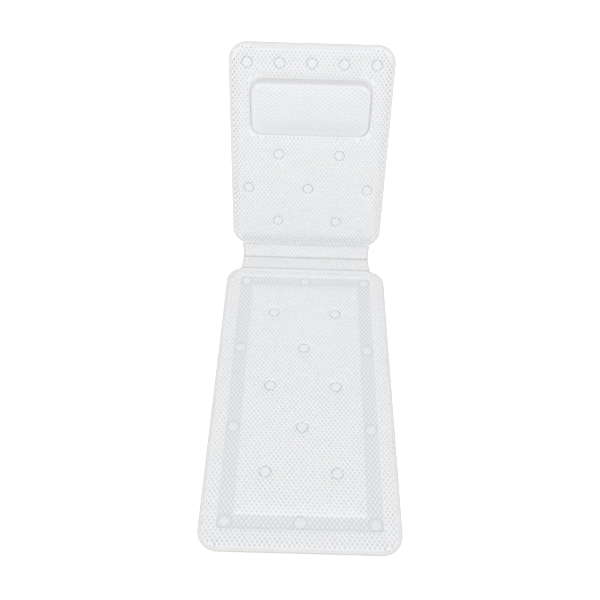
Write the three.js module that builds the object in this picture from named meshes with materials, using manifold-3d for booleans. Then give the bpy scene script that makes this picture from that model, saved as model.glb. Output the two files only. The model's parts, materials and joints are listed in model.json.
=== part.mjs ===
// Full-body bath mat, in millimetres, +Z up. A padded seat panel lies on the tub floor on its suction cups.
// A slightly narrower back panel with a pillow leans on the end of the tub, and a neck of two webs with three
// welded fold lines joins them. Each panel is a base sheet and a formed face sheet with soft foam between them,
// and a welded rim holds their edges. Each cup is held by its own head, pushed through the base sheet.

import * as THREE from "three";
import { mergeVertices } from "three/addons/utils/BufferGeometryUtils.js";
import Module from "manifold-3d";

const wasm = await Module();
wasm.setup();

// Panels, laid flat
const SEAT_WIDTH = 360;
const SEAT_LENGTH = 667;
const BACK_WIDTH = 345;
const BACK_LENGTH = 461;
const CORNER_RADIUS = 38;

// Layers of a panel, from the cups up
const CUP_HEIGHT = 9; // cup lip to the underside of the base sheet
const BASE_SHEET = 1.6;
const FACE_SHEET = 1.5;
const FOAM = 4;
const FIT = 0.3; // gap between neighbouring pieces

// Welded rim round each panel and along the sides of the neck
const RIM_WIDTH = 5;
const RIM_BEVEL = 0.8;

// Raised pads
const PAD_MARGIN = 3; // flat strip between the rim and the foot of a pad
const PAD_ROUNDING = 3; // top edges
const PAD_CORNER = 5; // corners beside the channel

// Sunken channel that frames the middle of the seat
const CHANNEL_WIDTH = 26;
const CHANNEL_FROM_SIDE = 33;
const CHANNEL_FROM_FOOT = 41;
const CHANNEL_FROM_NECK = 27;

// Pillow, set in a window of the back panel
const PILLOW_WIDTH = 250;
const PILLOW_LENGTH = 114;
const PILLOW_CORNER = 22;
const PILLOW_FROM_TOP = 76;
const PILLOW_RISE = 17; // crown above the pillow's weld frame
const PILLOW_WALL = 3; // upright part of the pillow's side
const PILLOW_GROOVE = 4; // between the pillow and the pad round it
const PILLOW_SEAT = 5; // width of weld frame under the pillow's edge

// Rows of cups, measured along each panel
const SEAT_CUP_ROWS = 7;
const BACK_CUP_ROWS = 3;
const BACK_FIRST_ROW = 63;
const BACK_LAST_ROW_TO_PILLOW = 47;
const BACK_CUP_FROM_SIDE = 38.5;
const TOP_ROW_FROM_TOP = 40;
const TOP_ROW_CUPS = 5;

// One suction cup
const CUP_RADIUS = 12;
const LIP_WIDTH = 1.4;
const HOLLOW_DEPTH = 4;
const WAIST_RADIUS = 5;
const WAIST_BELOW_SHEET = 3.4;
const SHOULDER_RADIUS = 8;
const STEM_RADIUS = 4;
const HEAD_RADIUS = 9;
const HEAD_HEIGHT = 2.2;

// Ring pressed into the face sheet over each cup under a pad
const RING_RADIUS = 10.5;
const RING_WIDTH = 2;
const RING_DEPTH = 1;

// Neck
const NECK_INSET = 25.5; // from the narrower panel's side edge, at the middle fold
const NECK_FLARE = 4; // extra half width at the outer folds
const FOLD_SPACING = 34.5;
const SEAM_RADIUS = 1.2;

// Folds as the mat sits in a tub, in degrees from flat
const LOWER_FOLD = 4;
const MIDDLE_FOLD = 16;
const UPPER_FOLD = 53;

// Facets
const CORNER_STEPS = 6;
const ROUNDING_STEPS = 2;
const DOME_STEPS = 6;
const DOME_FULLNESS = 2.6; // 2 is an ellipse, more is a flatter crown
const CUP_SIDES = 12;
const SEAM_SIDES = 8;
const NECK_STEPS = 4;
const SHARP_RADIUS = 0.2;
const CUT_MARGIN = 1; // how far a cutting tool runs past the face that it opens

// Levels above the cup lips
const baseTop = CUP_HEIGHT + BASE_SHEET;
const faceBottom = baseTop + FIT;
const weldTop = faceBottom + FACE_SHEET; // where the face sheet is pressed down on the base sheet
const foamTop = faceBottom + FOAM;
const padUnder = foamTop + FIT;
const padTop = padUnder + FACE_SHEET;
const foldLevel = (CUP_HEIGHT + weldTop) / 2;

// Distances in from a panel's outline
const sheetEdge = RIM_WIDTH + FIT;
const padFoot = sheetEdge + PAD_MARGIN;

const foldGap = SEAM_RADIUS + FIT; // fold axis to the pieces beside it
const neckWidth = Math.min(SEAT_WIDTH, BACK_WIDTH) - 2 * NECK_INSET;

const whitePlastic = (color, roughness) =>
  new THREE.MeshStandardMaterial({ color, roughness, metalness: 0, flatShading: true });
const meshFace = whitePlastic(0xebecee, 0.7);
const meshBase = whitePlastic(0xe6e7ea, 0.75);
const weldedEdge = whitePlastic(0xe4e4e6, 0.5);
const softCup = whitePlastic(0xe9edf0, 0.25);
const foam = whitePlastic(0xf2f2f0, 0.95);

function piece(name, geometry, material) {
  const mesh = new THREE.Mesh(geometry, material);
  mesh.name = name;
  return mesh;
}

// Solids for cutting and joining

function solidOf(geometry) {
  const bare = new THREE.BufferGeometry().setAttribute("position", geometry.getAttribute("position"));
  const merged = mergeVertices(bare.setIndex(geometry.index));
  const vertProperties = new Float32Array(merged.getAttribute("position").array);
  const triVerts = new Uint32Array(merged.index.array);
  return new wasm.Manifold(new wasm.Mesh({ numProp: 3, vertProperties, triVerts }));
}

function geometryOf(solid) {
  const { vertProperties, triVerts } = solid.getMesh();
  return new THREE.BufferGeometry()
    .setAttribute("position", new THREE.BufferAttribute(vertProperties, 3))
    .setIndex(new THREE.BufferAttribute(triVerts, 1));
}

const cut = (solid, tools) => tools.reduce((rest, tool) => rest.subtract(tool), solid);

// Outlines

// A rounded rectangle on the centre line, from y = start, as a function of how far its outline is drawn in.
// Every ring that it gives has the same count of points, anticlockwise.
function rectangle(width, length, radius, start) {
  return (inset) => {
    const r = Math.max(radius - inset, SHARP_RADIUS);
    const x = width / 2 - inset - r;
    const y = length / 2 - inset - r;
    const points = [];
    [[x, y], [-x, y], [-x, -y], [x, -y]].forEach(([cornerX, cornerY], quarter) => {
      for (let i = 0; i <= CORNER_STEPS; i++) {
        const angle = (quarter + i / CORNER_STEPS) * (Math.PI / 2);
        const across = cornerX + r * Math.cos(angle);
        const along = cornerY + r * Math.sin(angle);
        points.push(new THREE.Vector2(across, start + length / 2 + along));
      }
    });
    return points;
  };
}

// Solids of an outline

// Rings of equal point counts, given from the bottom up as [points, level], skinned and capped.
function loft(rings) {
  const count = rings[0][0].length;
  const position = rings.flatMap(([points, level]) => points.flatMap((p) => [p.x, p.y, level]));
  const index = [];
  for (let ring = 0; ring < rings.length - 1; ring++) {
    for (let i = 0; i < count; i++) {
      const a = ring * count + i;
      const b = ring * count + ((i + 1) % count);
      index.push(a, b, b + count, a, b + count, a + count);
    }
  }
  const top = (rings.length - 1) * count;
  for (const [a, b, c] of THREE.ShapeUtils.triangulateShape(rings[0][0], [])) index.push(c, b, a);
  for (const [a, b, c] of THREE.ShapeUtils.triangulateShape(rings.at(-1)[0], [])) {
    index.push(top + a, top + b, top + c);
  }
  return new THREE.BufferGeometry()
    .setAttribute("position", new THREE.Float32BufferAttribute(position, 3))
    .setIndex(index);
}

const prism = (points, bottom, top) => solidOf(loft([[points, bottom], [points, top]]));

// Rings up a wall whose top edge is rounded inwards, or outwards with a side of -1.
function roundedWall(outline, bottom, top, side) {
  const rings = [[outline(0), bottom]];
  for (let i = 0; i <= ROUNDING_STEPS; i++) {
    const angle = ((i / ROUNDING_STEPS) * Math.PI) / 2;
    const inset = side * PAD_ROUNDING * (1 - Math.cos(angle));
    rings.push([outline(inset), top - PAD_ROUNDING * (1 - Math.sin(angle))]);
  }
  return rings;
}

const mound = (outline) => solidOf(loft(roundedWall(outline, faceBottom, padTop, 1)));

// The tool that opens a pad down through its sheet, with the pad's rounded edge round the opening.
function pit(outline) {
  const rings = roundedWall(outline, faceBottom - CUT_MARGIN, padTop, -1);
  return solidOf(loft([...rings, [rings.at(-1)[0], padTop + CUT_MARGIN]]));
}

// A dome that starts with an upright wall and closes over its long middle line.
function dome(outline, reach, bottom, wall, rise) {
  const rings = [[outline(0), bottom]];
  for (let i = 0; i <= DOME_STEPS; i++) {
    const angle = ((i / DOME_STEPS) * Math.PI) / 2;
    const inset = reach * (1 - Math.cos(angle) ** (2 / DOME_FULLNESS));
    const level = bottom + wall + (rise - wall) * Math.sin(angle) ** (2 / DOME_FULLNESS);
    rings.push([outline(inset), level]);
  }
  return solidOf(loft(rings));
}

// An upright post at each cup, for cutting its hole.
function cupHoles(cups, radius, bottom, top) {
  return cups.map(({ x, y }) => {
    const post = new THREE.CylinderGeometry(radius, radius, top - bottom, CUP_SIDES);
    return solidOf(post.rotateX(Math.PI / 2).translate(x, y, (bottom + top) / 2));
  });
}

// The ring that is pressed into the face sheet at each cup.
function cupRings(cups) {
  const inner = RING_RADIUS - RING_WIDTH / 2;
  const outer = RING_RADIUS + RING_WIDTH / 2;
  const low = padTop - RING_DEPTH;
  const high = padTop + CUT_MARGIN;
  const profile = [[inner, low], [outer, low], [outer, high], [inner, high], [inner, low]];
  const section = profile.map(([r, level]) => new THREE.Vector2(r, level));
  return cups.map(({ x, y }) => {
    const ring = new THREE.LatheGeometry(section, CUP_SIDES);
    return solidOf(ring.rotateX(Math.PI / 2).translate(x, y, 0));
  });
}

// A band of the outline with its edges bevelled, as high as both sheets together.
function weldedRim(shape) {
  const depth = weldTop - CUP_HEIGHT - 2 * RIM_BEVEL;
  const bevel = { bevelThickness: RIM_BEVEL, bevelSize: RIM_BEVEL, bevelOffset: -RIM_BEVEL, bevelSegments: 1 };
  return new THREE.ExtrudeGeometry(shape, { depth, ...bevel }).translate(0, 0, CUP_HEIGHT + RIM_BEVEL);
}

function panelRim(outline) {
  const shape = new THREE.Shape(outline(0));
  shape.holes.push(new THREE.Path(outline(RIM_WIDTH)));
  return weldedRim(shape);
}

function panelBase(outline, cups) {
  const holes = cupHoles(cups, STEM_RADIUS + FIT, CUP_HEIGHT - CUT_MARGIN, baseTop + CUT_MARGIN);
  return geometryOf(cut(prism(outline(sheetEdge), CUP_HEIGHT, baseTop), holes));
}

// Suction cups: a hollow bell, a waist, a shoulder under the base sheet, and a stem with a head above it.
function cupGeometry() {
  const profile = [
    [0, HOLLOW_DEPTH],
    [CUP_RADIUS - LIP_WIDTH, 0],
    [CUP_RADIUS, 0],
    [WAIST_RADIUS, CUP_HEIGHT - WAIST_BELOW_SHEET],
    [SHOULDER_RADIUS, CUP_HEIGHT - FIT],
    [STEM_RADIUS, CUP_HEIGHT - FIT],
    [STEM_RADIUS, faceBottom],
    [HEAD_RADIUS, faceBottom],
    [0, faceBottom + HEAD_HEIGHT],
  ];
  const section = profile.map(([r, level]) => new THREE.Vector2(r, level));
  return new THREE.LatheGeometry(section, CUP_SIDES).rotateX(Math.PI / 2);
}

function addCups(group, prefix, cups) {
  cups.forEach(({ x, y }, i) => {
    const cup = piece(`${prefix}_${String(i + 1).padStart(2, "0")}`, cupGeometry(), softCup);
    cup.position.set(x, y, 0);
    group.add(cup);
  });
}

// Seat

// Rows of three and of two cups by turns. The outer cups and the end rows stand in the channel.
function seatCups() {
  const pitch = SEAT_WIDTH / 2 - CHANNEL_FROM_SIDE - CHANNEL_WIDTH / 2;
  const first = CHANNEL_FROM_FOOT + CHANNEL_WIDTH / 2;
  const last = SEAT_LENGTH - CHANNEL_FROM_NECK - CHANNEL_WIDTH / 2;
  const cups = [];
  for (let row = 0; row < SEAT_CUP_ROWS; row++) {
    const end = row === 0 || row === SEAT_CUP_ROWS - 1;
    const y = first + ((last - first) * row) / (SEAT_CUP_ROWS - 1);
    const columns = row % 2 === 0 ? [-1, 0, 1] : [-0.5, 0.5];
    for (const column of columns) {
      cups.push({ x: column * pitch, y, inChannel: end || Math.abs(column) === 1 });
    }
  }
  return cups;
}

function seatPanel() {
  const outline = rectangle(SEAT_WIDTH, SEAT_LENGTH, CORNER_RADIUS, 0);
  const frameWidth = SEAT_WIDTH - 2 * CHANNEL_FROM_SIDE;
  const frameLength = SEAT_LENGTH - CHANNEL_FROM_FOOT - CHANNEL_FROM_NECK;
  const frame = rectangle(frameWidth, frameLength, PAD_CORNER, CHANNEL_FROM_FOOT);
  const middleWidth = frameWidth - 2 * CHANNEL_WIDTH;
  const middleLength = frameLength - 2 * CHANNEL_WIDTH;
  const middle = rectangle(middleWidth, middleLength, PAD_CORNER, CHANNEL_FROM_FOOT + CHANNEL_WIDTH);
  const cups = seatCups();
  const channelCups = cups.filter((cup) => cup.inChannel);
  const padCups = cups.filter((cup) => !cup.inChannel);

  // A ring of the border pad's plan, drawn in on both sides, and the middle pad's plan drawn in.
  const borderRing = (inset, bottom, top) =>
    prism(outline(padFoot + inset), bottom, top).subtract(
      prism(frame(-inset), bottom - CUT_MARGIN, top + CUT_MARGIN),
    );
  const middleBlock = (inset, bottom, top) => prism(middle(inset), bottom, top);

  const face = prism(outline(sheetEdge), faceBottom, weldTop)
    .add(mound((inset) => outline(padFoot + inset)).subtract(pit(frame)))
    .add(mound(middle));
  const hollows = [borderRing, middleBlock].map((plan) => plan(FACE_SHEET, faceBottom - CUT_MARGIN, padUnder));
  const headHoles = cupHoles(channelCups, HEAD_RADIUS + FIT, faceBottom - CUT_MARGIN, weldTop + CUT_MARGIN);
  const foamPockets = cupHoles(padCups, HEAD_RADIUS + FIT, faceBottom - CUT_MARGIN, foamTop + CUT_MARGIN);

  const group = new THREE.Group();
  group.add(
    piece("seat_base_sheet", panelBase(outline, cups), meshBase),
    piece("seat_border_foam", geometryOf(borderRing(FACE_SHEET + FIT, faceBottom, foamTop)), foam),
    piece(
      "seat_middle_foam",
      geometryOf(cut(middleBlock(FACE_SHEET + FIT, faceBottom, foamTop), foamPockets)),
      foam,
    ),
    piece("seat_face_sheet", geometryOf(cut(face, [...hollows, ...headHoles, ...cupRings(padCups)])), meshFace),
    piece("seat_rim", panelRim(outline), weldedEdge),
  );
  addCups(group, "seat_cup", cups);
  return group;
}

// Back

// From the neck up: rows of two and three cups by turns below the pillow, and one full row above it.
function backCups(pillowStart) {
  const reach = BACK_WIDTH / 2 - BACK_CUP_FROM_SIDE;
  const lastRow = pillowStart - BACK_LAST_ROW_TO_PILLOW;
  const cups = [];
  for (let row = 0; row < BACK_CUP_ROWS; row++) {
    const y = BACK_FIRST_ROW + ((lastRow - BACK_FIRST_ROW) * row) / (BACK_CUP_ROWS - 1);
    const columns = row % 2 === 0 ? [-0.5, 0.5] : [-1, 0, 1];
    for (const column of columns) cups.push({ x: column * reach, y });
  }
  for (let i = 0; i < TOP_ROW_CUPS; i++) {
    cups.push({ x: reach * ((2 * i) / (TOP_ROW_CUPS - 1) - 1), y: BACK_LENGTH - TOP_ROW_FROM_TOP });
  }
  return cups;
}

function backPanel() {
  const outline = rectangle(BACK_WIDTH, BACK_LENGTH, CORNER_RADIUS, 0);
  const pillowStart = BACK_LENGTH - PILLOW_FROM_TOP - PILLOW_LENGTH;
  const pillow = rectangle(PILLOW_WIDTH, PILLOW_LENGTH, PILLOW_CORNER, pillowStart);
  const window = (inset) => pillow(inset - PILLOW_GROOVE - FIT);
  const cups = backCups(pillowStart);

  const padRing = (inset, bottom, top) =>
    prism(outline(padFoot + inset), bottom, top).subtract(
      prism(window(-inset), bottom - CUT_MARGIN, top + CUT_MARGIN),
    );
  const face = prism(outline(sheetEdge), faceBottom, weldTop).add(mound((inset) => outline(padFoot + inset)));
  const hollow = padRing(FACE_SHEET, faceBottom - CUT_MARGIN, padUnder);
  const foamPockets = cupHoles(cups, HEAD_RADIUS + FIT, faceBottom - CUT_MARGIN, foamTop + CUT_MARGIN);

  // The pillow's cover is a shell, open below, and its core fills it with a gap all round.
  const weldFrame = prism(pillow(-PILLOW_GROOVE), faceBottom, weldTop).subtract(
    prism(pillow(PILLOW_SEAT), faceBottom - CUT_MARGIN, weldTop + CUT_MARGIN),
  );
  // Its corners stay as round as the narrowing rings allow, so that the crown has no ridges.
  const pillowBottom = weldTop + FIT;
  const reach = PILLOW_LENGTH / 2 - PILLOW_SEAT;
  const pillowRing = (inset) => {
    const corner = Math.min(PILLOW_CORNER, PILLOW_LENGTH / 2 - inset - SHARP_RADIUS);
    return rectangle(PILLOW_WIDTH - 2 * inset, PILLOW_LENGTH - 2 * inset, corner, pillowStart + inset)(0);
  };
  const pillowDome = (inset, bottom) => {
    const wall = PILLOW_WALL + pillowBottom - bottom;
    const rise = PILLOW_RISE + pillowBottom - bottom - inset;
    return dome((more) => pillowRing(inset + more), reach - inset, bottom, wall, rise);
  };
  const cover = pillowDome(0, pillowBottom).subtract(pillowDome(FACE_SHEET, pillowBottom - CUT_MARGIN));
  const core = pillowDome(FACE_SHEET + FIT, pillowBottom);

  const group = new THREE.Group();
  group.add(
    piece("back_base_sheet", panelBase(outline, cups), meshBase),
    piece("back_foam", geometryOf(cut(padRing(FACE_SHEET + FIT, faceBottom, foamTop), foamPockets)), foam),
    piece("back_face_sheet", geometryOf(cut(face, [pit(window), hollow, ...cupRings(cups)])), meshFace),
    piece("back_rim", panelRim(outline), weldedEdge),
    piece("pillow_weld_frame", geometryOf(weldFrame), weldedEdge),
    piece("pillow_core", geometryOf(core), foam),
    piece("pillow_cover", geometryOf(cover), meshFace),
  );
  addCups(group, "back_cup", cups);
  return group;
}

// Neck

const neckHalf = (fromMiddle) => neckWidth / 2 + NECK_FLARE * (fromMiddle / FOLD_SPACING) ** 2;

// One web between two folds, with its first fold at y = 0. The other argument says how far a place along it
// lies from the middle fold, where the neck is narrowest.
function neckWeb(name, fromMiddle) {
  const side = (inset) => {
    const points = [];
    for (let i = 0; i <= NECK_STEPS; i++) {
      const y = foldGap + ((FOLD_SPACING - 2 * foldGap) * i) / NECK_STEPS;
      points.push(new THREE.Vector2(neckHalf(fromMiddle(y)) - inset, y));
    }
    return points;
  };
  const mirrored = (points) => points.map((p) => new THREE.Vector2(-p.x, p.y)).reverse();
  const sheet = [...side(sheetEdge), ...mirrored(side(sheetEdge))];
  const rightRim = [...side(0), ...side(RIM_WIDTH).reverse()];

  const group = new THREE.Group();
  group.add(
    piece(`${name}_base`, geometryOf(prism(sheet, CUP_HEIGHT, baseTop)), meshBase),
    piece(`${name}_face`, geometryOf(prism(sheet, faceBottom, weldTop)), meshFace),
    piece(`${name}_rim_right`, weldedRim(new THREE.Shape(rightRim)), weldedEdge),
    piece(`${name}_rim_left`, weldedRim(new THREE.Shape(mirrored(rightRim))), weldedEdge),
  );
  return group;
}

// The welded bead on a fold's axis, on the group that carries it.
function addSeam(group, name, halfWidth, y) {
  const bead = new THREE.CylinderGeometry(SEAM_RADIUS, SEAM_RADIUS, 2 * halfWidth, SEAM_SIDES);
  const seam = piece(name, bead.rotateZ(Math.PI / 2), weldedEdge);
  seam.position.set(0, y, foldLevel);
  group.add(seam);
}

// Assembly: each fold turns what comes after it about its own axis

function foldGroup(angle, y, level, content, contentStart) {
  const fold = new THREE.Group();
  fold.position.set(0, y, level);
  fold.rotation.x = THREE.MathUtils.degToRad(angle);
  content.position.set(0, contentStart, -foldLevel);
  fold.add(content);
  return fold;
}

const seat = seatPanel();
const lowerWeb = neckWeb("neck_lower", (y) => FOLD_SPACING - y);
const upperWeb = neckWeb("neck_upper", (y) => y);
const back = backPanel();

addSeam(seat, "lower_fold_seam", neckHalf(FOLD_SPACING), SEAT_LENGTH + foldGap);
addSeam(lowerWeb, "middle_fold_seam", neckHalf(0), FOLD_SPACING);
addSeam(upperWeb, "upper_fold_seam", neckHalf(FOLD_SPACING), FOLD_SPACING);

const lowerFold = foldGroup(LOWER_FOLD, SEAT_LENGTH + foldGap, foldLevel, lowerWeb, 0);
const middleFold = foldGroup(MIDDLE_FOLD, FOLD_SPACING, 0, upperWeb, 0);
const upperFold = foldGroup(UPPER_FOLD, FOLD_SPACING, 0, back, foldGap);
lowerFold.name = "lower_fold";
middleFold.name = "middle_fold";
upperFold.name = "upper_fold";
lowerFold.add(middleFold);
middleFold.add(upperFold);

const mat = new THREE.Group();
mat.add(seat, lowerFold);

// The origin is under the middle of the mat's box, on the tub floor
const box = new THREE.Box3().setFromObject(mat, true);
const centre = box.getCenter(new THREE.Vector3());
mat.position.set(-centre.x, -centre.y, -box.min.z);

const bathMat = new THREE.Group();
bathMat.add(mat);

export default bathMat;
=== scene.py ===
import json
import math

import bmesh
import bpy
import numpy as np
from mathutils import Matrix, Vector


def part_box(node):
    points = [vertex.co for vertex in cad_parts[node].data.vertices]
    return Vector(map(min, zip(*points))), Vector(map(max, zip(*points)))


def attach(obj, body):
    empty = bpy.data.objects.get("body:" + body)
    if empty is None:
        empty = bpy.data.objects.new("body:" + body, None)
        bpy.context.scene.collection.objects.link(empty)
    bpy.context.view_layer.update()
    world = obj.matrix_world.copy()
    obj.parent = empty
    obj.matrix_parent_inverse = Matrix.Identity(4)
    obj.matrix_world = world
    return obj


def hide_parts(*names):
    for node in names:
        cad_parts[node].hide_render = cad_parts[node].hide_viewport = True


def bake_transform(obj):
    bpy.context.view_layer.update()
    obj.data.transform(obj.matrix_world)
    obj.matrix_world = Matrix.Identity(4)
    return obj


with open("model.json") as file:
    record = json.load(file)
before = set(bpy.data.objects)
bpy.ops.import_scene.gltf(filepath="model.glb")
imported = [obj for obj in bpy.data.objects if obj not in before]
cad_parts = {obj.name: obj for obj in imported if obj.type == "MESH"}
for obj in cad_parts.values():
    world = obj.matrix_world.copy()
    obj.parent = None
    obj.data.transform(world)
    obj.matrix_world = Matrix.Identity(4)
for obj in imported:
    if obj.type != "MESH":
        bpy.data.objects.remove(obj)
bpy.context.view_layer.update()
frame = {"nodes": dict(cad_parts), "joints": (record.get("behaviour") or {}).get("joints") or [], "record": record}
scene = bpy.context.scene
scene.view_settings.view_transform = "Standard"
mm = 0.001
cutMm = 1e-4  # points nearer than this to a cut, or to each other, count as touching
tiny = 1e-6  # stands for next to nothing
nodes = frame["nodes"]
folds = {j["name"]: Vector(j["pos_m"]) for j in frame["joints"]}
mounts = {m["name"]: m for m in frame["record"]["mounts"]}
print("frame loaded,", len(nodes), "nodes")

# Flat frames in millimetres: x across, y along from the panel's near edge, z up from the cup lips
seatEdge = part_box("seat_rim")
foldLevel = folds["lower_fold"].z
foldGap = folds["lower_fold"].y - seatEdge[1].y
backOut = Vector(mounts["back_cup_lip"]["axis"])


def slope(start, end):
    return math.atan2(end.z - start.z, end.y - start.y)


def hinged(fold, angle, start):
    turn = Matrix.Translation(folds[fold]) @ Matrix.Rotation(angle, 4, "X")
    return turn @ Matrix.Translation((0, start, -foldLevel))


places = {
    "seat": Matrix.Translation((0, seatEdge[0].y, 0)),
    "neck_lower": hinged("lower_fold", slope(folds["lower_fold"], folds["middle_fold"]), 0),
    "neck_upper": hinged("middle_fold", slope(folds["middle_fold"], folds["upper_fold"]), 0),
    "back": hinged("upper_fold", math.atan2(backOut.y, -backOut.z), foldGap),
}


def coordinates(mesh):
    co = np.empty(len(mesh.vertices) * 3, np.float32)
    mesh.vertices.foreach_get("co", co)
    return co.reshape(-1, 3).astype(float)


def setCoordinates(mesh, co):
    mesh.vertices.foreach_set("co", co.astype(np.float32).ravel())


def flatPoints(node, body):
    back = np.array(places[body].inverted())
    return (coordinates(nodes[node].data) @ back[:3, :3].T + back[:3, 3]) / mm


def flatBox(node, body):
    points = flatPoints(node, body)
    return points.min(0), points.max(0)


def cupCentres(body):
    boxes = [flatBox(node, body) for node in sorted(nodes) if node.startswith(f"{body}_cup_")]
    return [((low + high) / 2)[:2] for low, high in boxes]


seatCups = cupCentres("seat")
backCups = cupCentres("back")


# Colours are sRGB hex values
def colour(hexValue):
    parts = [int(hexValue[k:k + 2], 16) / 255 for k in (0, 2, 4)]
    return [p / 12.92 if p <= 0.04045 else ((p + 0.055) / 1.055) ** 2.4 for p in parts] + [1.0]


# A colour mix has its two colours on inputs 6 and 7 and their mix on output 2
def addNode(tree, kind, settings=None, values=None, links=None):
    node = tree.nodes.new("ShaderNode" + kind)
    for key, value in (settings or {}).items():
        setattr(node, key, value)
    for key, value in (values or {}).items():
        node.inputs[key].default_value = value
    for key, socket in (links or {}).items():
        tree.links.new(socket, node.inputs[key])
    return node


def newMaterial(name):
    material = bpy.data.materials.new(name)
    material.use_nodes = True
    material.node_tree.nodes.clear()
    return material, material.node_tree


def closeMaterial(material, look, height, links):
    # every finish ends in a fine relief and one shader
    tree = material.node_tree
    relief = addNode(tree, "Bump",
                     values={"Strength": look["reliefShare"], "Distance": look["reliefMm"] * mm},
                     links={"Height": height})
    shader = addNode(tree, "BsdfPrincipled",
                     values={"IOR": look["ior"], "Roughness": look["roughness"],
                             "Transmission Weight": look.get("clearShare", 0.0)},
                     links={"Normal": relief.outputs[0], **links})
    addNode(tree, "OutputMaterial", links={"Surface": shader.outputs[0]})
    return material


# Foamed PVC mesh, dipped and cured in an oven: chalky white beads, a greyer film between them where heat has
# melted the holes shut, and a glassy grey seal where a tool has pressed through. The same film and seal colours
# are also painted in as shade, through the pressing share, on the pillow's upper side, in the shut holes inside
# the cup rings and along the seat's foot
meshLook = {"foam": "EFF0F2", "shadedFoam": "EDEEF0", "film": "DBDCDF", "seal": "A0A1A6", "ior": 1.5,
            "roughness": 0.62, "sealRoughness": 0.42, "grainMm": 1.6, "grainDetail": 2.0,
            "reliefMm": 0.12, "reliefShare": 0.5, "beadFrom": 0.76, "beadTo": 0.44}


def foamedMesh(name, look):
    material, tree = newMaterial(name)
    where = addNode(tree, "TexCoord")
    bead = addNode(tree, "Attribute", {"attribute_name": "bead"})
    # the pressing share, which also carries painted shade
    pressAndShade = addNode(tree, "Attribute", {"attribute_name": "pressAndShade"})
    valley = addNode(tree, "MapRange", values={"From Min": look["beadFrom"], "From Max": look["beadTo"]},
                     links={"Value": bead.outputs["Fac"]})
    weldAndShade = addNode(tree, "Math", {"operation": "MULTIPLY", "use_clamp": True},
                     links={0: valley.outputs[0], 1: pressAndShade.outputs["Fac"]})
    over = addNode(tree, "Math", {"operation": "SUBTRACT", "use_clamp": True}, {1: 1.0},
                   {0: pressAndShade.outputs["Fac"]})
    sealAndShade = addNode(tree, "Math", {"operation": "MULTIPLY"},
                     links={0: over.outputs[0], 1: valley.outputs[0]})
    grain = addNode(tree, "TexNoise",
                    values={"Scale": 1 / (look["grainMm"] * mm), "Detail": look["grainDetail"]},
                    links={"Vector": where.outputs["Object"]})
    sheet = addNode(tree, "Mix", {"data_type": "RGBA"},
                    {6: colour(look["foam"]), 7: colour(look["film"])}, {0: weldAndShade.outputs[0]})
    base = addNode(tree, "Mix", {"data_type": "RGBA"}, {7: colour(look["seal"])},
                   {0: sealAndShade.outputs[0], 6: sheet.outputs[2]})
    rough = addNode(tree, "MapRange",
                    values={"To Min": look["roughness"], "To Max": look["sealRoughness"]},
                    links={"Value": weldAndShade.outputs[0]})
    return closeMaterial(material, look, grain.outputs["Fac"],
                         {"Base Color": base.outputs[2], "Roughness": rough.outputs[0]})


# Solid PVC where both sheets are melted together: denser and a little warmer than the foamed mesh. Its greyer edge
# colour is painted shade, mixed in by the edge share along the outlines, the fold seams and the groove above the
# pillow; the knurl mixes a little of it in as texture
weldLook = {"face": "EDEDEC", "edge": "C7C5C2", "ior": 1.53, "roughness": 0.5, "knurlMm": 2.2,
            "knurlSmooth": 0.6, "knurlShade": 0.2, "reliefMm": 0.1, "reliefShare": 0.6}


def weldedVinyl(name, look):
    material, tree = newMaterial(name)
    where = addNode(tree, "TexCoord")
    knurl = addNode(tree, "TexVoronoi", {"feature": "SMOOTH_F1"},
                    {"Scale": 1 / (look["knurlMm"] * mm), "Smoothness": look["knurlSmooth"]},
                    {"Vector": where.outputs["Object"]})
    # the edge share is painted shade
    edge = addNode(tree, "Attribute", {"attribute_name": "edge"})
    shade = addNode(tree, "Math", {"operation": "MULTIPLY_ADD", "use_clamp": True},
                    {1: look["knurlShade"]}, {0: knurl.outputs["Distance"], 2: edge.outputs["Fac"]})
    base = addNode(tree, "Mix", {"data_type": "RGBA"},
                   {6: colour(look["face"]), 7: colour(look["edge"])}, {0: shade.outputs[0]})
    return closeMaterial(material, look, knurl.outputs["Distance"], {"Base Color": base.outputs[2]})


# Soft clear PVC, injection moulded: milky, glossy and a little wavy
cupLook = {"clear": "F0F3F4", "milky": "FAFBFB", "ior": 1.53, "roughness": 0.18, "clearShare": 0.4,
           "waveMm": 9.0, "waveDetail": 1.0, "reliefMm": 0.08, "reliefShare": 0.4}


def softVinyl(name, look):
    material, tree = newMaterial(name)
    where = addNode(tree, "TexCoord")
    wave = addNode(tree, "TexNoise",
                   values={"Scale": 1 / (look["waveMm"] * mm), "Detail": look["waveDetail"]},
                   links={"Vector": where.outputs["Object"]})
    base = addNode(tree, "Mix", {"data_type": "RGBA"},
                   {6: colour(look["clear"]), 7: colour(look["milky"])}, {0: wave.outputs["Fac"]})
    return closeMaterial(material, look, wave.outputs["Fac"], {"Base Color": base.outputs[2]})


# Open-cell polyurethane foam, sawn from a block: dull, with pores that show as fine pits
foamLook = {"skin": "F1F1F0", "pore": "E4E4E3", "ior": 1.45, "roughness": 0.9, "poreMm": 1.2,
            "reliefMm": 0.3, "reliefShare": 0.5}


def cellFoam(name, look):
    material, tree = newMaterial(name)
    where = addNode(tree, "TexCoord")
    pore = addNode(tree, "TexVoronoi", values={"Scale": 1 / (look["poreMm"] * mm)},
                   links={"Vector": where.outputs["Object"]})
    base = addNode(tree, "Mix", {"data_type": "RGBA"},
                   {6: colour(look["pore"]), 7: colour(look["skin"])}, {0: pore.outputs["Distance"]})
    return closeMaterial(material, look, pore.outputs["Distance"], {"Base Color": base.outputs[2]})


meshMaterial = foamedMesh("foamed_pvc_mesh", meshLook)
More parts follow.
